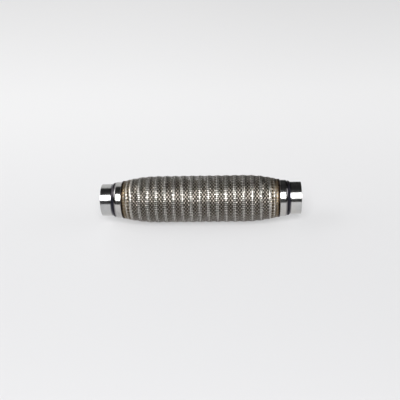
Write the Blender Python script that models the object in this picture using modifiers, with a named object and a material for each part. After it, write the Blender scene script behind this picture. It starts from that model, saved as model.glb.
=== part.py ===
"""Exhaust flex pipe: a braided flexible section between two plain extension pipes.

The pipe lies along X on the surface that carries it. The origin is under its middle, +Z is up, metres.
Every turned piece is drawn as an outline of (distance along the pipe, radius) and swept about the pipe's axis.
"""
import bpy
import bmesh
from math import cos, hypot, pi, sin
from mathutils import Vector

MM = 0.001

# Overall sizes
FLEX_LENGTH = 250 * MM          # over the outer lips of the two collars
NIPPLE_REACH = 20 * MM          # extension pipe that stands out past each collar
PIPE_BORE = 45 * MM             # inside of the extension pipes
NIPPLE_WALL = 1.0 * MM
LIP_CHAMFER = 0.3 * MM          # deburred outer edge of the open end
FIT_GAP = 0.3 * MM              # between pieces that touch on the bench

# Collar: a drawn sleeve whose outer end is rounded down to the extension pipe
COLLAR_WALL = 1.0 * MM
COLLAR_LENGTH = 10.3 * MM
SHOULDER_LENGTH = 2.2 * MM
ROUND_POINTS = 3                # steps in the rounded outline of a shoulder

# Bead that welds the extension pipe to the collar's lip
BEAD_WIDTH = 3.6 * MM
BEAD_HEIGHT = 1.3 * MM
BEAD_POINTS = 2

# Fused rim that joins the collar, the cut ends of the braid and the bellows
RIM_WIDTH = 2.0 * MM
RIM_HEIGHT = 1.2 * MM           # stands this far proud of the collar

# Outer braid: a sleeve that is full in the middle, 68.5 mm across, and drawn in at both ends
BRAID_OVER_RIM = 0.25 * MM      # the cut ends of the wires stand this far proud of the rim
BRAID_WALL = 0.8 * MM           # from the bottom of a cell to the sleeve's inside
BRAID_RIDGES = 14               # ridges of each hand, which cross each other
RIDGE_HEIGHT = 0.8 * MM
TAPER_LENGTH = 50.5 * MM        # the sleeve draws in over this length at each end
TAPER_POWER = 2.15
WAVE_DEPTH = 0.8 * MM           # how far the braid sinks between two convolutions
END_WAVE_DEPTH = 0.45 * MM
CELL_SHARE = 0.5                # width of a cell's floor, or of its gap, as a share of the cell
PLAIN_VALLEYS = 1               # valleys at each end of the row that keep their cells closed
END_ROWS = 4                    # rows of crossings past the last full crest, the cut end included

# Bellows: thin corrugated tube that keeps the gas in
CONVOLUTION_PITCH = 12.45 * MM
CONVOLUTION_HEIGHT = 5.75 * MM  # from the corners of a root to those of a full crest
END_ROOM = 12 * MM              # least length between the last full crest and the end of the braid
BELLOWS_WALL = 0.5 * MM
CREST_WIDTH = 4.2 * MM
ROOT_WIDTH = 3.2 * MM
CREST_GAP = 1.0 * MM            # between a crest and the braid's inside where its ridges cross
CUFF_RISE = 2.6 * MM            # length over which the cuff opens out to the first root

# Inner sleeve: guides the gas past the convolutions
SLEEVE_WALL = 1.0 * MM
SLEEVE_OVERLAP = 6 * MM         # slipped this far over the hidden end of each extension pipe

ROUND_SIDES = 2 * BRAID_RIDGES
BELLOWS_SIDES = BRAID_RIDGES

# Places along the pipe, measured from its middle
COLLAR_LIP = FLEX_LENGTH / 2
PIPE_END = COLLAR_LIP + NIPPLE_REACH
COLLAR_INNER_END = COLLAR_LIP - COLLAR_LENGTH
RIM_OUTER_FACE = COLLAR_INNER_END - FIT_GAP
RIM_INNER_FACE = RIM_OUTER_FACE - RIM_WIDTH
BRAID_END = RIM_INNER_FACE - FIT_GAP
TAPER_START = BRAID_END - TAPER_LENGTH
CRESTS_EACH_SIDE = int((BRAID_END - END_ROOM) / CONVOLUTION_PITCH)
LAST_CREST = CRESTS_EACH_SIDE * CONVOLUTION_PITCH
END_STEP = (BRAID_END - LAST_CREST) / END_ROWS
END_CREST = LAST_CREST + 2 * END_STEP
SLEEVE_END = BRAID_END - CUFF_RISE - FIT_GAP
NIPPLE_INNER_END = SLEEVE_END - SLEEVE_OVERLAP

# Radii
PIPE_RADIUS = PIPE_BORE / 2 + NIPPLE_WALL
FIRST_LAYER = PIPE_RADIUS + FIT_GAP
# The bellows has fewer sides than its neighbours, so its radii are those of corners whose flats clear them.
BELLOWS_FLAT = cos(pi / BELLOWS_SIDES)
CUFF_RADIUS = (FIRST_LAYER + BELLOWS_WALL) / BELLOWS_FLAT
ROOT_RADIUS = (FIRST_LAYER + SLEEVE_WALL + FIT_GAP + BELLOWS_WALL) / BELLOWS_FLAT
COLLAR_BORE = (CUFF_RADIUS + FIT_GAP) / cos(pi / ROUND_SIDES)
COLLAR_RADIUS = COLLAR_BORE + COLLAR_WALL
RIM_RADIUS = COLLAR_RADIUS + RIM_HEIGHT
BRAID_WAIST = RIM_RADIUS + BRAID_OVER_RIM
CREST_RADIUS = ROOT_RADIUS + CONVOLUTION_HEIGHT
BRAID_CROWN = CREST_RADIUS + CREST_GAP + BRAID_WALL + RIDGE_HEIGHT
# The braid's crossings are the corners of a many-sided section, and one flat of it is what the pipe lies on.
AXIS_HEIGHT = BRAID_CROWN * cos(pi / BRAID_RIDGES)


def braid_radius(along):
    """Radius of the braid's crossings, without its waves, at a distance from the pipe's middle."""
    share = max(0.0, abs(along) - TAPER_START) / (BRAID_END - TAPER_START)
    return BRAID_CROWN - (BRAID_CROWN - BRAID_WAIST) * share ** TAPER_POWER


def ridge_height(along):
    """Height of the braid's ridges, which run out at its drawn-in ends."""
    return RIDGE_HEIGHT * min(1.0, (BRAID_END - abs(along)) / (BRAID_END - LAST_CREST))


def braid_inside(along):
    """Radius of the braid's inside under a crossing, without its waves."""
    return braid_radius(along) - ridge_height(along) - BRAID_WALL


def crest_places():
    """The middle of every convolution, from one end to the other, with a small one at each end."""
    numbers = range(-CRESTS_EACH_SIDE, CRESTS_EACH_SIDE + 1)
    places = [number * CONVOLUTION_PITCH for number in numbers]
    return [-END_CREST] + places + [END_CREST]


def wall_outline(path, wall):
    """Thicken an open path of (along, radius) points inwards into a closed outline of even wall."""
    inner = []
    for number, (along, radius) in enumerate(path):
        before = path[max(number - 1, 0)]
        after = path[min(number + 1, len(path) - 1)]
        first = unit(along - before[0], radius - before[1])
        second = unit(after[0] - along, after[1] - radius)
        if number == 0:
            first = second
        if number == len(path) - 1:
            second = first
        across = unit(first[0] + second[0], first[1] + second[1])
        stretch = wall / (across[0] * second[0] + across[1] * second[1])
        inner.append((along - across[1] * stretch, radius + across[0] * stretch))
    return path + inner[::-1]


def unit(x, y):
    length = hypot(x, y) or 1.0
    return x / length, y / length


def steel(name, colour, roughness):
    """Plain metal finish of one piece."""
    finish = bpy.data.materials.new(name)
    finish.use_nodes = True
    shader = finish.node_tree.nodes["Principled BSDF"]
    shader.inputs["Base Color"].default_value = (*colour, 1.0)
    shader.inputs["Metallic"].default_value = 1.0
    shader.inputs["Roughness"].default_value = roughness
    return finish


def place(part, collection, axis, finish, side=1, turn=0.0):
    """Hang a piece on the pipe's axis, turned about it; side -1 faces it to the left end."""
    part.parent = axis
    part.rotation_euler = (0.0 if side > 0 else pi, 0.0, turn)
    part.data.materials.append(finish)
    collection.objects.link(part)


def turned(name, outline, sides=ROUND_SIDES):
    """Sweep a closed outline once round the axis. It starts at the right and runs to the left outside."""
    mesh = bpy.data.meshes.new(name)
    points = [(radius, 0.0, along) for along, radius in outline]
    edges = [(number, (number + 1) % len(points)) for number in range(len(points))]
    mesh.from_pydata(points, edges, [])
    part = bpy.data.objects.new(name, mesh)
    turn = part.modifiers.new("turn", "SCREW")
    turn.axis = "Z"
    turn.angle = 2 * pi
    turn.steps = sides
    turn.render_steps = sides
    turn.use_merge_vertices = True
    turn.merge_threshold = 0.00001
    turn.use_smooth_shade = True
    return part


def nipple_outline():
    """Extension pipe: a plain tube with a deburred open end."""
    bore = PIPE_BORE / 2
    return [
        (PIPE_END, bore),
        (PIPE_END, PIPE_RADIUS - LIP_CHAMFER),
        (PIPE_END - LIP_CHAMFER, PIPE_RADIUS),
        (NIPPLE_INNER_END, PIPE_RADIUS),
        (NIPPLE_INNER_END, bore),
    ]


def quarter_round(outer, inner, low, high, steps):
    """A quarter of an ellipse that rises from (outer, low) to (inner, high)."""
    turns = [pi / 2 * number / steps for number in range(steps + 1)]
    return [(inner + (outer - inner) * cos(turn), low + (high - low) * sin(turn)) for turn in turns]


def collar_outline():
    """Collar: its outer end is rounded down until its lip sits on the extension pipe."""
    shoulder = COLLAR_LIP - SHOULDER_LENGTH
    path = quarter_round(COLLAR_LIP, shoulder, FIRST_LAYER + COLLAR_WALL, COLLAR_RADIUS, ROUND_POINTS)
    inside = [
        (COLLAR_INNER_END, COLLAR_RADIUS),
        (COLLAR_INNER_END, COLLAR_BORE),
        (shoulder, COLLAR_BORE),
        (COLLAR_LIP - COLLAR_WALL, FIRST_LAYER),
        (COLLAR_LIP, FIRST_LAYER),
    ]
    return path + inside


def bead_outline():
    """Weld bead: fills the corner between the collar's lip and the extension pipe."""
    start = COLLAR_LIP + FIT_GAP
    crown = FIRST_LAYER + BEAD_HEIGHT
    path = quarter_round(start + BEAD_WIDTH, start, FIRST_LAYER, crown, BEAD_POINTS)
    return path + [(start, FIRST_LAYER)]


def rim_outline():
    """Fused rim between the collar and the braid, round the bellows' cuff."""
    edge = RIM_RADIUS - RIM_HEIGHT / 2
    return [
        (RIM_OUTER_FACE, COLLAR_BORE),
        (RIM_OUTER_FACE, edge),
        ((RIM_OUTER_FACE + RIM_INNER_FACE) / 2, RIM_RADIUS),
        (RIM_INNER_FACE, edge),
        (RIM_INNER_FACE, COLLAR_BORE),
    ]


def bellows_outline():
    """Corrugated tube with full convolutions, smaller ones where the braid draws in, and plain cuffs."""
    cuff_end = COLLAR_LIP - SHOULDER_LENGTH - FIT_GAP
    places = crest_places()[::-1]
    path = [(cuff_end, CUFF_RADIUS), (BRAID_END, CUFF_RADIUS), (BRAID_END - CUFF_RISE, ROOT_RADIUS)]
    for number, crest in enumerate(places):
        full = abs(crest) < END_CREST - END_STEP
        shrink = 1.0 if full else 2 * END_STEP / CONVOLUTION_PITCH
        half_crest = CREST_WIDTH / 2 * shrink
        top = braid_inside(abs(crest) + half_crest) - CREST_GAP
        path += [(crest + half_crest, top), (crest - half_crest, top)]
        if number + 1 < len(places):
            root = (crest + places[number + 1]) / 2
            narrow = (crest - places[number + 1]) / CONVOLUTION_PITCH
            half_root = ROOT_WIDTH / 2 * narrow
            path += [(root + half_root, ROOT_RADIUS), (root - half_root, ROOT_RADIUS)]
    path += [(-along, radius) for along, radius in path[2::-1]]
    return wall_outline(path, BELLOWS_WALL)


def sleeve_outline():
    """Inner sleeve: a plain tube slipped over the hidden ends of both extension pipes."""
    outside = FIRST_LAYER + SLEEVE_WALL
    return [
        (SLEEVE_END, outside),
        (-SLEEVE_END, outside),
        (-SLEEVE_END, FIRST_LAYER),
        (SLEEVE_END, FIRST_LAYER),
    ]


def braid_rows():
    """(along, radius) of every row of crossings: crests and valleys in turn, from end to end."""
    rows = [(-BRAID_END, BRAID_WAIST)]
    tops = [-BRAID_END] + crest_places() + [BRAID_END]
    for before, after in zip(tops, tops[1:]):
        valley = (before + after) / 2
        depth = WAVE_DEPTH if abs(valley) < LAST_CREST else END_WAVE_DEPTH
        rows.append((valley, braid_radius(valley) - depth))
        rows.append((after, braid_radius(after)))
    return rows


def braid_sleeve(name):
    """One wall of crossing ridges with a sunk cell between every four crossings, some of them open."""
    bm = bmesh.new()
    rows = braid_rows()
    last = len(rows) - 1
    floor, outside, inside = {}, {}, {}
    for row, (along, radius) in enumerate(rows):
        sunk = radius - ridge_height(along)
        for column in range(ROUND_SIDES):
            spot = (row, column)
            floor[spot] = on_ring(sunk, column, along)
            if is_crossing(row, column):
                outside[spot] = bm.verts.new(on_ring(radius, column, along))
                inside[spot] = bm.verts.new(on_ring(sunk - BRAID_WALL, column, along))
            elif row in (0, last):
                outside[spot] = bm.verts.new(floor[spot])

    for row in range(last + 1):
        for column in range(ROUND_SIDES):
            if is_crossing(row, column):
                continue
            right, left = (column + 1) % ROUND_SIDES, (column - 1) % ROUND_SIDES
            around = [(row, right), (row + 1, column), (row, left), (row - 1, column)]
            if row in (0, last):
                tip = around[1] if row == 0 else around[3]
                end_cell(bm, outside, inside, (row, column), around[0], tip, around[2])
                continue
            edge = [bm.verts.new(floor[row, column].lerp(floor[spot], CELL_SHARE)) for spot in around]
            border(bm, edge, [outside[spot] for spot in around])
            inner = [inside[spot] for spot in around]
            if has_gap(row, column, last):
                middle = sum((vert.co for vert in inner), Vector()) / 4
                inner_edge = [bm.verts.new(middle.lerp(vert.co, CELL_SHARE)) for vert in inner]
                border(bm, inner, inner_edge)
                border(bm, inner_edge, edge)
            else:
                bm.faces.new(edge)
                bm.faces.new((inner[0], inner[2], inner[1]))
                bm.faces.new((inner[0], inner[3], inner[2]))

    bmesh.ops.recalc_face_normals(bm, faces=bm.faces)
    mesh = bpy.data.meshes.new(name)
    bm.to_mesh(mesh)
    bm.free()
    return bpy.data.objects.new(name, mesh)


def is_crossing(row, column):
    """Two ridges cross at every other place of the grid. The pipe lies on the flat between two of them."""
    return (row + column) % 2 == 1


def on_ring(radius, column, along):
    turn = 2 * pi * column / ROUND_SIDES
    return Vector((radius * cos(turn), radius * sin(turn), along))


def has_gap(row, column, last):
    """Gaps lie in the valleys between full convolutions, in every other cell and staggered."""
    first_valley = END_ROWS + 1 + 2 * PLAIN_VALLEYS
    in_valley = row % 2 == 1 and first_valley <= row <= last - first_valley
    return in_valley and (column // 2 + row // 2) % 2 == 0


def border(bm, within, beyond):
    """Join two four-cornered rings of vertices corner by corner."""
    for turn in range(4):
        after = (turn + 1) % 4
        bm.faces.new((within[turn], beyond[turn], beyond[after], within[after]))


def end_cell(bm, outside, inside, middle, right, tip, left):
    """Half a cell at the cut end of the sleeve, and the part of the end face between its crossings."""
    bm.faces.new((outside[middle], outside[right], outside[tip]))
    bm.faces.new((outside[middle], outside[tip], outside[left]))
    bm.faces.new((inside[right], inside[left], inside[tip]))
    bm.faces.new((outside[right], outside[middle], outside[left], inside[left], inside[right]))


def build():
    for old in list(bpy.data.objects):
        bpy.data.objects.remove(old)
    collection = bpy.data.collections.new("exhaust_flex_pipe")
    bpy.context.scene.collection.children.link(collection)
    axis = bpy.data.objects.new("pipe_axis", None)
    axis.location = (0.0, 0.0, AXIS_HEIGHT)
    axis.rotation_euler = (0.0, pi / 2, 0.0)
    collection.objects.link(axis)

    ends = {
        "nipple": (nipple_outline, (0.72, 0.72, 0.71), 0.14),
        "collar": (collar_outline, (0.66, 0.65, 0.64), 0.18),
        "nipple_weld": (bead_outline, (0.20, 0.18, 0.20), 0.42),
        "braid_rim": (rim_outline, (0.07, 0.06, 0.055), 0.55),
    }
    for side, word in ((-1, "left"), (1, "right")):
        for kind, (outline, colour, roughness) in ends.items():
            name = f"{kind}_{word}"
            place(turned(name, outline()), collection, axis, steel(name, colour, roughness), side)

    place(braid_sleeve("outer_braid"), collection, axis, steel("outer_braid", (0.42, 0.40, 0.37), 0.34))
    bellows = turned("bellows", bellows_outline(), BELLOWS_SIDES)
    half_side = pi / BELLOWS_SIDES
    place(bellows, collection, axis, steel("bellows", (0.50, 0.48, 0.45), 0.30), turn=half_side)
    sleeve = turned("inner_sleeve", sleeve_outline())
    place(sleeve, collection, axis, steel("inner_sleeve", (0.45, 0.43, 0.40), 0.38))


build()
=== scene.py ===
from math import ceil, cos, pi, radians, sin, tan

import bmesh
import bpy
import numpy as np
from mathutils import Matrix, Vector


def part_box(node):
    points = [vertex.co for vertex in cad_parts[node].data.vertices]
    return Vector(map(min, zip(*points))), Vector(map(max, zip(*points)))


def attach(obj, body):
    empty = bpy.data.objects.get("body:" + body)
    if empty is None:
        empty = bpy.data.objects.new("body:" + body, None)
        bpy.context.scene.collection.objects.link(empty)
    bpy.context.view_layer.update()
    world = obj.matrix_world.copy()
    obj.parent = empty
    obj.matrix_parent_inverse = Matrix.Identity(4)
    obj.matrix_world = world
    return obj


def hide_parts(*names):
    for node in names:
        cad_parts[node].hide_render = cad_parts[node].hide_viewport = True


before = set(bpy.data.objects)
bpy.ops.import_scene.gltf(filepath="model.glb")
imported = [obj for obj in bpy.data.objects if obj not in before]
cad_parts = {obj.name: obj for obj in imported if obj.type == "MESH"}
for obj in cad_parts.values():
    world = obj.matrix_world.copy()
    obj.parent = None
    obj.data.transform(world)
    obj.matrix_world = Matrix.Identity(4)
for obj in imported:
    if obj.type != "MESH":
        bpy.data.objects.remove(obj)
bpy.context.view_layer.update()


# Extension pipes: a short plain tube at each end of the part, cut from polished stainless tube of
# 45 mm bore. The rest of the exhaust is welded or clamped to it. It is welded to the collar, and the
# heat of that weld has darkened the metal beside the bead.
MM = 0.001
pipe_low, pipe_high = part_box("nipple_right")
AXIS_HEIGHT = (pipe_low.z + pipe_high.z) / 2 / MM
PIPE_RADIUS = (pipe_high.z - pipe_low.z) / 2 / MM
PIPE_END = pipe_high.x / MM
PIPE_INNER_END = pipe_low.x / MM
PIPE_WALL = 1.0
CUT_EDGE = 0.25
TURNED_STEPS = 192
SIDES = {"left": -1, "right": 1}
POLISHED = (0.50, 0.505, 0.50)
WARM_STEEL = (0.66, 0.62, 0.57)
PIPE_HEAT = (132.0, 129.5, (0.10, 0.098, 0.115))
DRAWN_LINES = (9000, 60, 60)


def filleted(corners, points=5, guard=0.25):
    """A closed outline through (along, radius, fillet) corners. Each round corner has a short straight
    on both sides, so that the faces beside it stay flat under smooth shading."""
    outline = []
    for index, (along, radius, fillet) in enumerate(corners):
        corner = np.array((along, radius))
        before = np.array(corners[index - 1][:2]) - corner
        after = np.array(corners[(index + 1) % len(corners)][:2]) - corner
        before = before / np.linalg.norm(before)
        after = after / np.linalg.norm(after)
        start, end = corner + before * fillet, corner + after * fillet
        outline.append(start + before * guard)
        for step in np.linspace(0, 1, points):
            outline.append((1 - step) ** 2 * start + 2 * step * (1 - step) * corner + step ** 2 * end)
        outline.append(end + after * guard)
    return np.array(outline)


def piece(name, points, faces, sharp=40):
    """A mesh object from points in millimetres, where the pipe's axis is X through the origin."""
    mesh = bpy.data.meshes.new(name)
    placed = (np.asarray(points) + (0, 0, AXIS_HEIGHT)) * MM
    mesh.from_pydata(placed.tolist(), [], faces)
    mesh.shade_smooth()
    mesh.set_sharp_from_angle(angle=radians(sharp))
    made = bpy.data.objects.new(name, mesh)
    bpy.context.scene.collection.objects.link(made)
    return made


def outward(made):
    """Turns every face of a closed piece to the outside."""
    work = bmesh.new()
    work.from_mesh(made.data)
    bmesh.ops.recalc_face_normals(work, faces=work.faces)
    work.to_mesh(made.data)
    work.free()
    return made


def turned(name, outline, steps=TURNED_STEPS, ripple=None):
    """Turns a closed outline about the pipe's axis. ripple moves its points as the angle goes round."""
    outline = np.asarray(outline)
    angles = np.linspace(0, 2 * pi, steps, endpoint=False)[:, None]
    along = np.broadcast_to(outline[:, 0], (steps, len(outline)))
    radius = np.broadcast_to(outline[:, 1], (steps, len(outline)))
    if ripple:
        along, radius = ripple(along, radius, angles)
    points = np.stack([along, radius * np.sin(angles), radius * np.cos(angles)], -1).reshape(-1, 3)
    count = len(outline)
    faces = []
    for step in range(steps):
        here, there = step * count, (step + 1) % steps * count
        for index in range(count):
            following = (index + 1) % count
            faces.append((here + index, here + following, there + following, there + index))
    return outward(piece(name, points, faces))


class Field:
    """A socket in a material's nodes. Sums and products of fields are written as Python's own."""

    def __init__(self, tree, socket=None):
        self.tree = tree
        self.socket = socket

    def node(self, kind, settings=None, inputs=None, output=0):
        """Adds a node: its settings first, then a value or another field for each of its sockets."""
        made = self.tree.nodes.new(kind)
        for name, setting in (settings or {}).items():
            if name == "stops":
                for stop in range(len(setting) - 2):
                    made.color_ramp.elements.new(0.5)
                for element, (position, colour) in zip(made.color_ramp.elements, setting):
                    element.position = position
                    element.color = (*colour, 1)
            else:
                setattr(made, name, setting)
        for name, value in (inputs or {}).items():
            if isinstance(value, Field):
                self.tree.links.new(value.socket, made.inputs[name])
            else:
                made.inputs[name].default_value = value
        return Field(self.tree, made.outputs[output])

    def math(self, operation, first, second):
        return self.node("ShaderNodeMath", {"operation": operation}, {0: first, 1: second})

    def __add__(self, other):
        return self.math("ADD", self, other)

    def __radd__(self, other):
        return self.math("ADD", other, self)

    def __sub__(self, other):
        return self.math("SUBTRACT", self, other)

    def __rsub__(self, other):
        return self.math("SUBTRACT", other, self)

    def __mul__(self, other):
        return self.math("MULTIPLY", self, other)

    def __rmul__(self, other):
        return self.math("MULTIPLY", other, self)

    def __truediv__(self, other):
        return self.math("DIVIDE", self, other)

    def __pow__(self, other):
        return self.math("POWER", self, other)

    def __abs__(self):
        return self.math("ABSOLUTE", self, 0)

    def rise(self, low, high):
        """0 below low, 1 above high and smooth between them. With low above high it falls instead."""
        settings = {"interpolation_type": "SMOOTHSTEP"}
        if low < high:
            inputs = {"Value": self, "From Min": low, "From Max": high}
            return self.node("ShaderNodeMapRange", settings, inputs)
        inputs = {"Value": self, "From Min": high, "From Max": low}
        return 1 - self.node("ShaderNodeMapRange", settings, inputs)

    def blend(self, first, second):
        """The colour first where this field is 0, and second where it is 1."""
        first = first if isinstance(first, Field) else (*first, 1)
        second = second if isinstance(second, Field) else (*second, 1)
        return self.node("ShaderNodeMix", {"data_type": "RGBA"}, {0: self, 6: first, 7: second}, output=2)

    def axes(self):
        """The three numbers of a vector."""
        apart = self.node("ShaderNodeSeparateXYZ", inputs={0: self}).socket.node
        return [Field(self.tree, output) for output in apart.outputs]

    def noise(self, scale, detail=2.0, roughness=0.5):
        """Noise at this place. scale is one number, or three for a grain that runs one way."""
        place = self
        if not isinstance(scale, (int, float)):
            place = self.node("ShaderNodeVectorMath", {"operation": "MULTIPLY"}, {0: self, 1: scale})
            scale = 1
        inputs = {"Vector": place, "Scale": scale, "Detail": detail, "Roughness": roughness}
        return self.node("ShaderNodeTexNoise", None, inputs)


class Finish:
    """A material in the making: where a point is, and the shader that it feeds."""

    def __init__(self, name):
        self.material = bpy.data.materials.new(name)
        self.material.use_nodes = True
        self.shader = self.material.node_tree.nodes["Principled BSDF"]
        self.start = Field(self.material.node_tree)
        self.place = self.start.node("ShaderNodeTexCoord", output=3)
        self.along, self.across, self.up = [axis / MM for axis in self.place.axes()]
        self.from_middle = abs(self.along)

    def feed(self, **inputs):
        """Feeds the shader: Base_Color is its Base Color socket."""
        for name, value in inputs.items():
            socket = self.shader.inputs[name.replace("_", " ")]
            if isinstance(value, Field):
                self.material.node_tree.links.new(value.socket, socket)
            else:
                socket.default_value = value

    def bump(self, height, distance, strength=1.0):
        inputs = {"Height": height, "Distance": distance * MM, "Strength": strength}
        self.feed(Normal=self.start.node("ShaderNodeBump", None, inputs))


def polished_steel(name, colour, heat_from, heat_to, heat):
    """Polished tube with lines left by drawing, smears of wear, and heat colour that grows from
    heat_from to heat_to, both measured along the pipe from the middle."""
    finish = Finish(name)
    smear = finish.place.noise(55, 4.0, 0.6)
    warmth = finish.place.noise(24, 1.0)
    steel = smear.rise(0.3, 0.75).blend(colour, tuple(0.84 * part for part in colour))
    steel = (warmth.rise(0.35, 0.7) * 0.35).blend(steel, WARM_STEEL)
    edge = finish.from_middle + warmth * 1.6
    tinted = edge.rise(heat_from, heat_to).blend(steel, heat)
    lines = finish.place.noise(DRAWN_LINES, 3.0, 0.7)
    scratches = finish.place.noise((400, 3500, 3500), 1.0)
    roughness = 0.07 + smear * 0.12 + lines * 0.08 + scratches.rise(0.62, 0.75) * 0.08
    finish.feed(Base_Color=tinted, Metallic=1.0, Roughness=roughness)
    finish.bump(lines + scratches * 0.5, 0.004, 0.5)
    return finish.material


def rides(made, node, material):
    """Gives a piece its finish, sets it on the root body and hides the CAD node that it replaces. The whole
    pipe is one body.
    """
    made.data.materials.append(material)
    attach(made, "root")
    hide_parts(node)
    return made


pipe_steel = polished_steel("extension_pipe_steel", POLISHED, *PIPE_HEAT)
pipe_outline = filleted([
    (PIPE_INNER_END, PIPE_RADIUS - PIPE_WALL, 0.2),
    (PIPE_INNER_END, PIPE_RADIUS, 0.2),
    (PIPE_END, PIPE_RADIUS, CUT_EDGE),
    (PIPE_END, PIPE_RADIUS - PIPE_WALL, CUT_EDGE),
], guard=0.1)
for end, side in SIDES.items():
    pipe = turned(f"extension_pipe_{end}", pipe_outline * (side, 1))
    rides(pipe, f"nipple_{end}", pipe_steel)


# Collars: a sleeve pressed from stainless tube over the end of the bellows and the braid.
# Its outer end is spun down to the extension pipe, and it is polished before it is welded.
collar_low, collar_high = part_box("collar_right")
COLLAR_LIP = collar_high.x / MM
COLLAR_INNER_END = collar_low.x / MM
COLLAR_RADIUS = (collar_high.z - collar_low.z) / 2 / MM
COLLAR_WALL = 1.0
COLLAR_GAP = 0.3
SHOULDER_LENGTH = 2.0
SHOULDER_FILLET = 1.2
SHOULDER_START = COLLAR_LIP - SHOULDER_LENGTH
LIP_STEP = 1.7
LIP_RADIUS = PIPE_RADIUS + LIP_STEP
DRAWN = (0.48, 0.475, 0.47)
COLLAR_HEAT = (122.5, 125.5, (0.13, 0.12, 0.13))

collar_steel = polished_steel("collar_steel", DRAWN, *COLLAR_HEAT)
collar_outline = filleted([
    (COLLAR_INNER_END, COLLAR_RADIUS - COLLAR_WALL, 0.15),
    (COLLAR_INNER_END, COLLAR_RADIUS, 0.4),
    (SHOULDER_START, COLLAR_RADIUS, SHOULDER_FILLET),
    (COLLAR_LIP, LIP_RADIUS, 0.3),
    (COLLAR_LIP, PIPE_RADIUS + COLLAR_GAP, 0.15),
    (SHOULDER_START, PIPE_RADIUS + COLLAR_GAP, 0.15),
    (SHOULDER_START - SHOULDER_FILLET, COLLAR_RADIUS - COLLAR_WALL, 0.15),
])
for end, side in SIDES.items():
    collar = turned(f"collar_sleeve_{end}", collar_outline * (side, 1))
    rides(collar, f"collar_{end}", collar_steel)


# Weld beads: the ring of weld that closes the step between the extension pipe and the collar.
# It is laid while the part turns, so it has even ripples, and it is blue and black from the heat.
bead_low, bead_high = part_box("nipple_weld_right")
BEAD_ON_COLLAR = 0.2
BEAD_ON_PIPE = 0.1
BEAD_START = bead_low.x / MM - BEAD_ON_COLLAR
BEAD_WIDTH = bead_high.x / MM + BEAD_ON_PIPE - BEAD_START
BEAD_RISE = (bead_high.z - bead_low.z) / 2 / MM - PIPE_RADIUS
BEAD_SINK = 0.05
BEAD_LEAN = 0.6
RIPPLES = 64
RIPPLE_STEPS = 8


def bead_ripple(along, radius, angles):
    """Each ripple of the bead leans along the pipe and stands a little proud."""
    rise = radius - PIPE_RADIUS
    drift = 0.12 * np.sin(3 * angles + 1) + 0.08 * np.sin(7 * angles)
    lean = rise * (0.16 * np.cos(RIPPLES * angles) + drift)
    return along + lean, radius + rise * 0.09 * np.cos(RIPPLES * angles + 0.8)


bead_steps = np.linspace(0, 1, 13)
bead_outline = np.stack([
    BEAD_START + BEAD_WIDTH * bead_steps,
    PIPE_RADIUS + BEAD_SINK + BEAD_RISE * np.sin(pi * bead_steps ** BEAD_LEAN),
], -1)
bead = Finish("weld_bead_steel")
bead_heat = bead.place.noise(70, 3.0)
bead_colour = bead_heat.node("ShaderNodeValToRGB", {"stops": [
    (0.30, (0.012, 0.012, 0.018)),
    (0.48, (0.028, 0.027, 0.036)),
    (0.60, (0.060, 0.052, 0.060)),
    (0.75, (0.200, 0.185, 0.180)),
]}, {0: bead_heat})
bead.feed(Base_Color=bead_colour, Metallic=1.0, Roughness=0.24 + bead_heat * 0.2)
bead.bump(bead.place.noise(2500, 2.0), 0.02, 0.5)
for end, side in SIDES.items():
    made = turned(f"weld_bead_{end}", bead_outline * (side, 1), RIPPLES * RIPPLE_STEPS, bead_ripple)
    rides(made, f"nipple_weld_{end}", bead.material)


# Fused rims: where the cut ends of the wires, the bellows and the collar are melted together.
# The ring is burnt nearly black, with an uneven edge on the side of the wires.
rim_low, rim_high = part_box("braid_rim_right")
RIM_PROUD = 0.15
RIM_ON_WIRES = 0.8
RIM_SINK = 0.6
RIM_RADIUS = (rim_high.z - rim_low.z) / 2 / MM + RIM_PROUD
RIM_START = rim_low.x / MM - RIM_ON_WIRES
RIM_END = rim_high.x / MM + RIM_PROUD
RIM_BORE = COLLAR_RADIUS - RIM_SINK
RIM_RUN = 1.1
RIM_FILLET = 0.5


def rim_ripple(along, radius, angles):
    """The melted edge wanders where it has run between the wires."""
    wander = np.sin(36 * angles) + 0.7 * np.sin(23 * angles + 2) + 0.5 * np.sin(61 * angles)
    wires = (RIM_END - np.abs(along)) / (RIM_END - RIM_START)
    return along - np.sign(along) * 0.12 * wander * wires, radius + 0.04 * wander * (radius > RIM_BORE)


rim_outline = filleted([
    (RIM_START, RIM_BORE, 0.2),
    (RIM_START, RIM_RADIUS - RIM_FILLET, 0.2),
    (RIM_START + RIM_RUN, RIM_RADIUS, RIM_FILLET),
    (RIM_END, RIM_RADIUS - 0.2, RIM_FILLET),
    (RIM_END, RIM_BORE, 0.2),
], guard=0.1)
rim = Finish("burnt_rim_steel")
rim_soot = rim.place.noise(90, 4.0, 0.6)
rim_grit = rim.place.noise(1800, 3.0)
rim.feed(
    Base_Color=rim_soot.rise(0.4, 0.75).blend((0.008, 0.006, 0.005), (0.050, 0.035, 0.025)),
    Metallic=1.0,
    Roughness=0.38 + rim_soot * 0.25,
)
rim.bump(rim_grit, 0.05, 0.6)
for end, side in SIDES.items():
    made = turned(f"fused_rim_{end}", rim_outline * (side, 1), 360, rim_ripple)
    rides(made, f"braid_rim_{end}", rim.material)


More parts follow.
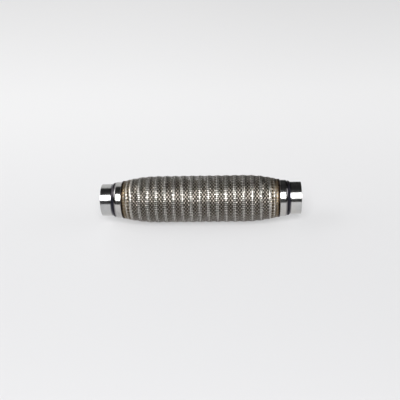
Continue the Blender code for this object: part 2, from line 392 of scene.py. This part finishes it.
# Bellows: the gas-tight tube inside the braid, two plies of thin sheet pressed into rings.
# It bends and stretches with the engine. Its crests carry the braid and show through it as rings.
BRAID_RADIUS = 34.3
BRAID_OVER_RIM = 0.1
BRAID_WAIST = RIM_RADIUS + BRAID_OVER_RIM
BRAID_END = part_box("outer_braid")[1].x / MM
TAPER_LENGTH = 50.5
TAPER_START = BRAID_END - TAPER_LENGTH
TAPER_POWER = 2.15
CONVOLUTION_PITCH = 12.45
CONVOLUTIONS = 17
LAST_CREST = CONVOLUTION_PITCH * (CONVOLUTIONS - 1) / 2
END_CREST = (LAST_CREST + BRAID_END) / 2
CUFF_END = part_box("bellows")[1].x / MM
SHEET = 0.5
CREST_ROUND = 2.5
ROOT_ROUND = 1.6
ROOT_RADIUS = 26.2
CUFF_GAP = 0.35
CUFF_RADIUS = COLLAR_RADIUS - COLLAR_WALL - CUFF_GAP
BRAID_BUILD = 0.6
END_CREST_SHARE = 0.6
LIT_CREST_DEPTH = 1.4
FOLD_PAINTED_SHADE = (0.014, 0.011, 0.007)
SHEET_TONES = ((0.66, 0.64, 0.61), (0.76, 0.74, 0.71))


def braid_radius(along):
    """The outside of the braid over the crests of the bellows: full in the middle, drawn in at the ends."""
    share = np.clip((np.abs(along) - TAPER_START) / (BRAID_END - TAPER_START), 0, 1)
    return BRAID_RADIUS - (BRAID_RADIUS - BRAID_WAIST) * share ** TAPER_POWER


def half_turn(along, radius, rounding, upward, points=9):
    """A half circle of the bellows wall, over a crest or under a root."""
    angles = np.linspace(pi, 0, points) * (1 if upward else -1)
    return [(along + rounding * cos(angle), radius + rounding * sin(angle)) for angle in angles]


def bellows_side(offset):
    """One face of the sheet, offset outwards from its middle."""
    crests = [CONVOLUTION_PITCH * (ring - (CONVOLUTIONS - 1) / 2) for ring in range(CONVOLUTIONS)]
    crests = [-END_CREST] + crests + [END_CREST]
    path = [(-CUFF_END, CUFF_RADIUS + offset)]
    for index, along in enumerate(crests):
        rounding = CREST_ROUND * (END_CREST_SHARE if abs(along) > LAST_CREST else 1)
        top = braid_radius(along) - BRAID_BUILD - rounding
        path += half_turn(along, top, rounding + offset, True)
        if index < len(crests) - 1:
            middle = (along + crests[index + 1]) / 2
            gap = crests[index + 1] - along
            rounding = ROOT_ROUND * gap / CONVOLUTION_PITCH
            path += half_turn(middle, ROOT_RADIUS + ROOT_ROUND, rounding - offset, False)
    return path + [(CUFF_END, CUFF_RADIUS + offset)]


sheet = Finish("bellows_sheet_steel")
sheet_tone = sheet.place.noise(45, 3.0)
sheet_lines = sheet.place.noise(DRAWN_LINES, 3.0, 0.7)
sheet_rise = (sheet.across ** 2 + (sheet.up - AXIS_HEIGHT) ** 2) ** 0.5
# Painted shade: the sheet is painted nearly black except near the tops of its crests, for the shade down in
# its folds under the braid.
share = sheet.start.math("MAXIMUM", sheet.from_middle - TAPER_START, 0) / (BRAID_END - TAPER_START)
sheet_top = BRAID_RADIUS - (BRAID_RADIUS - BRAID_WAIST) * share ** TAPER_POWER - BRAID_BUILD
lit_crest = (sheet_rise - sheet_top).rise(-LIT_CREST_DEPTH, -0.3 * LIT_CREST_DEPTH)
bare = sheet_tone.rise(0.3, 0.7).blend(*SHEET_TONES)
sheet.feed(
    Base_Color=lit_crest.blend(FOLD_PAINTED_SHADE, bare),
    Metallic=1.0,
    Roughness=0.28 + sheet_lines * 0.05,
)
sheet.bump(sheet_lines, 0.006, 0.5)
bellows = turned("bellows_tube", bellows_side(SHEET / 2) + bellows_side(-SHEET / 2)[::-1], 128)
rides(bellows, "bellows", sheet.material)


# Inner sleeve: a loose woven tube that keeps the gas off the rings of the bellows.
# It is plaited from flat bundles of the same wire and held between the extension pipes.
sleeve_low, sleeve_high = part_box("inner_sleeve")
SLEEVE_END = sleeve_high.x / MM
SLEEVE_SINK = 0.5
SLEEVE_RADIUS = (sleeve_high.z - sleeve_low.z) / 2 / MM - SLEEVE_SINK
SLEEVE_BUNDLES = 24
SLEEVE_RINGS = 90
SLEEVE_WIDTH = 3.0
SLEEVE_THICK = 0.4
ROUNDED = 80


def strand(bundles, rings, reach, hand, offset, lift, surface, section, flat=0.34, sway=None):
    """One strand of a plait, over one and under one, as rings of points round its line.
    offset is its angle beside the middle of its bundle, and section its cross-section."""
    step = 2 * reach / rings
    shift = -hand * offset * bundles / pi * step / 2
    crossings = np.arange(-ceil(rings / 2) - 1, ceil(rings / 2) + 2)
    along = (crossings[:, None] * step + shift + np.array((-flat, flat)) * step).ravel()
    height = np.repeat(np.where(crossings % 2 == 0, hand, -hand) * lift, 2)
    inside = np.abs(along) < reach - 0.2 * step
    along = np.concatenate([(-reach,), along[inside], (reach,)])
    height = np.concatenate([height[inside][:1], height[inside], height[inside][-1:]])
    angle = hand * along * pi / (bundles * step) + offset
    radius = surface(along) + height
    if sway:
        aside, proud = sway(along)
        angle = angle + aside / radius
        radius = radius + proud
    line = np.stack([along, radius * np.sin(angle), radius * np.cos(angle)], -1)
    ahead = np.gradient(line, axis=0)
    ahead /= np.linalg.norm(ahead, axis=1)[:, None]
    out = np.stack([0 * angle, np.sin(angle), np.cos(angle)], -1)
    out -= ahead * (out * ahead).sum(1)[:, None]
    out /= np.linalg.norm(out, axis=1)[:, None]
    aside = np.cross(ahead, out)
    rings_of_points = [line + out * high + aside * wide for high, wide in section]
    return np.stack(rings_of_points, 1)


def strands(name, lines):
    """Closes each strand of points into a tube and joins them as one piece."""
    points, faces, first = [], [], 0
    for line in lines:
        length, corners = line.shape[:2]
        grid = first + np.arange(length * corners).reshape(length, corners)
        nearer, further = grid[:-1], grid[1:]
        quads = np.stack([nearer, further, np.roll(further, -1, 1), np.roll(nearer, -1, 1)], -1)
        faces += quads.reshape(-1, 4).tolist()
        faces += [grid[0].tolist(), grid[-1, ::-1].tolist()]
        points.append(line.reshape(-1, 3))
        first += length * corners
    return piece(name, np.concatenate(points), faces, ROUNDED)


def about_axis(line, angle):
    """A strand turned about the pipe's axis."""
    turn = np.array(((1, 0, 0), (0, cos(angle), sin(angle)), (0, -sin(angle), cos(angle))))
    return line @ turn.T


sleeve_section = [
    (SLEEVE_THICK / 2, 0),
    (0, -SLEEVE_WIDTH / 2),
    (-SLEEVE_THICK / 2, 0),
    (0, SLEEVE_WIDTH / 2),
]
sleeve_wire = Finish("sleeve_wire_steel")
sleeve_tone = sleeve_wire.place.noise(60, 3.0)
sleeve_wire.feed(
    Base_Color=sleeve_tone.rise(0.3, 0.7).blend((0.34, 0.32, 0.30), (0.50, 0.48, 0.45)),
    Metallic=1.0,
    Roughness=0.3 + sleeve_tone * 0.2,
)
sleeve_wire.bump(sleeve_wire.place.noise(1500, 2.0), 0.1, 0.8)
for hand, word in ((1, "right"), (-1, "left")):
    bundle = strand(
        SLEEVE_BUNDLES, SLEEVE_RINGS, SLEEVE_END, hand, 0, SLEEVE_THICK / 2,
        lambda along: np.full_like(along, SLEEVE_RADIUS), sleeve_section,
    )
    turns = [about_axis(bundle, 2 * pi * index / SLEEVE_BUNDLES) for index in range(SLEEVE_BUNDLES)]
    rides(strands(f"sleeve_plait_{word}_hand", turns), "inner_sleeve", sleeve_wire.material)


# Outer braid: bundles of bright drawn wire plaited over the bellows, over one and under one.
# It takes the pull on the bellows, and its ends are fused into the rims, where the heat has left them gold.
BUNDLES = 36
CROSSING_RINGS = 102
WIRES = 5
WIRE = 0.34
WIRE_CROWN = 0.22
WIRE_FLAT = 0.3
WIRE_LIFT = 0.09
WIRE_REST = 0.2
WAVE = 0.8
END_WAVE = 0.5
WAVE_POWER = 1.25
WIRE_TONES = ((0.56, 0.53, 0.485), (0.91, 0.875, 0.815))
UNDER_CROSSING_SHADE = (0.024, 0.018, 0.011)
DIP_PAINTED_SHADE = (0.17, 0.148, 0.12)
WARM = (0.46, 0.405, 0.385)
COOL = (0.39, 0.41, 0.365)
GOLD = (0.62, 0.47, 0.28)
BROWN = (0.15, 0.10, 0.06)
GOLD_ZONE = (101.0, 110.0)
BROWN_ZONE = (112.5, 116.0)
LIT_CROSSING_ZONE = (-0.05, 0.85)
WARM_ZONE = (0.52, 0.66)
COOL_ZONE = (0.48, 0.36)
CAST_SHARE = 0.5
DIP_ZONE = (0.7, -0.6)
DIP_SHARE = 0.6
HALVES = 2
ring_step = 2 * BRAID_END / CROSSING_RINGS
wander = np.random.default_rng(45)


def braid_surface(along):
    """The middle of the braid's two layers: it dips between the crests of the bellows."""
    away = np.abs(along)
    past = away - LAST_CREST
    rings = np.where(past < 0, away / CONVOLUTION_PITCH, CONVOLUTIONS // 2 + past / (END_CREST - LAST_CREST))
    depth = np.where(past < 0, WAVE, END_WAVE)
    dip = (1 - np.cos(2 * pi * rings)) / 2
    return braid_radius(along) - WIRE - depth * dip ** WAVE_POWER


def wire_sway():
    """A wire's small wandering to the side and off the surface, different for each wire."""
    lengths = wander.uniform(7, 24, 3)
    phases = wander.uniform(0, 2 * pi, 6)

    def sway(along):
        waves = [np.sin(2 * pi * along / length + phase) for length, phase in zip(lengths, phases)]
        lifts = [np.sin(2 * pi * along / length + phase) for length, phase in zip(lengths, phases[3:])]
        return 0.05 * sum(waves), 0.02 * sum(lifts)
    return sway


wire_section = [
    (WIRE_CROWN * WIRE, WIRE_FLAT * WIRE),
    (WIRE_CROWN * WIRE, -WIRE_FLAT * WIRE),
    (0, -WIRE / 2),
    (0, WIRE / 2),
]
wire_steel = Finish("braid_wire_steel")
tone = wire_steel.place.noise(130, 2.0)
cast = wire_steel.place.noise(48, 1.0)
turn = wire_steel.start.math("ARCTAN2", wire_steel.across, wire_steel.up - AXIS_HEIGHT)
rings = wire_steel.start.math("COSINE", wire_steel.along * (pi / ring_step), 0)
crossing = rings * wire_steel.start.math("COSINE", turn * BUNDLES, 0)
bright = tone.rise(0.3, 0.7).blend(*WIRE_TONES)
warm = (cast.rise(*WARM_ZONE) * CAST_SHARE).blend(bright, WARM)
coloured = (cast.rise(*COOL_ZONE) * CAST_SHARE).blend(warm, COOL)
end_edge = wire_steel.from_middle + tone * 6
gold = end_edge.rise(*GOLD_ZONE).blend(coloured, GOLD)
# Painted shade: away from the crossings, where the wires dip under each other beside the openings, they are
# painted nearly black.
crossing_shaded = crossing.rise(*LIT_CROSSING_ZONE).blend(UNDER_CROSSING_SHADE, gold)
# Painted shade: the wires are painted darker in the dips between the crests of the bellows.
swing = wire_steel.start.math("COSINE", wire_steel.along * (2 * pi / CONVOLUTION_PITCH), 0)
dip_shaded = (swing.rise(*DIP_ZONE) * DIP_SHARE).blend(crossing_shaded, DIP_PAINTED_SHADE)
burnt = end_edge.rise(*BROWN_ZONE).blend(dip_shaded, BROWN)
wire_steel.feed(Base_Color=burnt, Metallic=1.0, Roughness=0.28 + tone * 0.06)
slant = np.arctan(pi * BRAID_RADIUS / BUNDLES / ring_step)
wire_turn = WIRE / (BRAID_RADIUS - WIRE) / cos(slant)
for hand, word in ((1, "right"), (-1, "left")):
    for half in range(HALVES):
        wires = []
        for index in range(half * BUNDLES // HALVES, (half + 1) * BUNDLES // HALVES):
            for number in range(WIRES):
                offset = (number - (WIRES - 1) / 2) * wire_turn
                line = strand(
                    BUNDLES, CROSSING_RINGS, BRAID_END, hand, offset, WIRE_LIFT,
                    braid_surface, wire_section, WIRE_REST, wire_sway(),
                )
                wires.append(about_axis(line, 2 * pi * index / BUNDLES))
        braid = strands(f"braid_{word}_hand_{half + 1}", wires)
        rides(braid, "outer_braid", wire_steel.material)


# Floor: a plain pale table top that the pipe lies on, resting on its braid.
FLOOR_REACH = 4.0
FLOOR_GREY = (0.32, 0.32, 0.324)
GLOW_NEAR = (0.35, 0.35, 0.356)
GLOW_FAR = (0.57, 0.57, 0.572)
GLOW_ZONE = (-0.35, 0.6)
floor_level = (AXIS_HEIGHT - BRAID_RADIUS) * MM
floor_mesh = bpy.data.meshes.new("table_top")
floor_mesh.from_pydata([
    (-FLOOR_REACH, -FLOOR_REACH, floor_level),
    (FLOOR_REACH, -FLOOR_REACH, floor_level),
    (FLOOR_REACH, FLOOR_REACH, floor_level),
    (-FLOOR_REACH, FLOOR_REACH, floor_level),
], [], [(0, 1, 2, 3)])
floor = bpy.data.objects.new("table_top", floor_mesh)
bpy.context.scene.collection.objects.link(floor)
table = Finish("table_top_paint")
seen = [
    table.start.node("ShaderNodeLightPath", output=f"Is {way} Ray")
    for way in ("Camera", "Glossy", "Transmission")
]
glow = (table.across / 1000).rise(*GLOW_ZONE).blend(GLOW_NEAR, GLOW_FAR)
glow = (seen[0] + seen[1] + seen[2]).blend((0, 0, 0), glow)
table.feed(Base_Color=(*FLOOR_GREY, 1), Roughness=0.6, Emission_Color=glow, Emission_Strength=1.0)
floor_mesh.materials.append(table.material)


# Light: one large soft box in front and above, a fainter one at each side, a pale wall behind to the left,
# and a dim room, which the polished pipes show as dark bands.
SOFT_BOX_HEIGHT = radians(45)
SOFT_BOX_AWAY = 2.0
SOFT_BOX_ASIDE = -0.01
SOFT_BOX_WIDTH = 1.25
SOFT_BOX_DEPTH = 1.18
SOFT_BOX_RADIANCE = 11.5
SIDE_BOX_AWAY = 2.4
SIDE_BOX_WIDTH = 1.4
ROOM_LEVEL = 0.025
WALL_LEVEL = 0.8
WALL_BACK = (0.05, 0.35)
WALL_TOP = (0.88, 0.72)
WALL_EDGE = (0.04, -0.10)
SIDE_BOXES = {"left": (radians(35), 3.4), "right": (radians(22), 2.8)}
middle = Vector((0, 0, AXIS_HEIGHT * MM))
lamp = bpy.data.lights.new("soft_box", "AREA")
lamp.shape = "RECTANGLE"
lamp.size = SOFT_BOX_WIDTH
lamp.size_y = SOFT_BOX_DEPTH
lamp.energy = SOFT_BOX_RADIANCE * pi * SOFT_BOX_WIDTH * SOFT_BOX_DEPTH
soft_box = bpy.data.objects.new("soft_box", lamp)
bpy.context.scene.collection.objects.link(soft_box)
soft_box.location = middle + SOFT_BOX_AWAY * Vector((0, -cos(SOFT_BOX_HEIGHT), sin(SOFT_BOX_HEIGHT)))
soft_box.rotation_euler = (middle - soft_box.location).to_track_quat("-Z", "Y").to_euler()
soft_box.location.x += SOFT_BOX_ASIDE

for end, (height, radiance) in SIDE_BOXES.items():
    side_lamp = bpy.data.lights.new(f"side_box_{end}", "AREA")
    side_lamp.shape = "SQUARE"
    side_lamp.size = SIDE_BOX_WIDTH
    side_lamp.energy = radiance * pi * SIDE_BOX_WIDTH ** 2
    side_box = bpy.data.objects.new(f"side_box_{end}", side_lamp)
    bpy.context.scene.collection.objects.link(side_box)
    side_box.location = middle + SIDE_BOX_AWAY * Vector((SIDES[end] * cos(height), 0, sin(height)))
    side_box.rotation_euler = (middle - side_box.location).to_track_quat("-Z", "Y").to_euler()

room = bpy.data.worlds.new("room")
bpy.context.scene.world = room
room.use_nodes = True
sky = Field(room.node_tree)
right, back, high = sky.node("ShaderNodeTexCoord", output=0).axes()
wall = back.rise(*WALL_BACK) * high.rise(*WALL_TOP) * right.rise(*WALL_EDGE)
level = ROOM_LEVEL + wall * WALL_LEVEL
background = room.node_tree.nodes["Background"]
room.node_tree.links.new(level.socket, background.inputs["Strength"])
background.inputs["Color"].default_value = (1, 1, 1, 1)


# Camera: in front and above, a little to the right of the middle, level with the photograph's view.
CAMERA_HEIGHT = radians(30)
CAMERA_ASIDE = radians(4.0)
CAMERA_AWAY = 0.90
CAMERA_ROLL = radians(-2.7)
FRAME_WIDTH = radians(36.15)
FRAME_PIXELS = 400
MIDDLE_PIXEL = (200.9, 198.75)
camera_data = bpy.data.cameras.new("camera")
camera_data.sensor_width = 36
camera_data.lens = camera_data.sensor_width / 2 / tan(FRAME_WIDTH / 2)
camera_data.shift_x = (FRAME_PIXELS / 2 - MIDDLE_PIXEL[0]) / FRAME_PIXELS
camera_data.shift_y = (MIDDLE_PIXEL[1] - FRAME_PIXELS / 2) / FRAME_PIXELS
camera = bpy.data.objects.new("camera", camera_data)
bpy.context.scene.collection.objects.link(camera)
toward = Vector((
    sin(CAMERA_ASIDE) * cos(CAMERA_HEIGHT),
    -cos(CAMERA_ASIDE) * cos(CAMERA_HEIGHT),
    sin(CAMERA_HEIGHT),
))
camera.location = middle + CAMERA_AWAY * toward
facing = (middle - camera.location).to_track_quat("-Z", "Y").to_matrix()
camera.rotation_euler = (facing @ Matrix.Rotation(CAMERA_ROLL, 3, "Z")).to_euler()
bpy.context.scene.camera = camera
bpy.context.scene.view_settings.view_transform = "Standard"
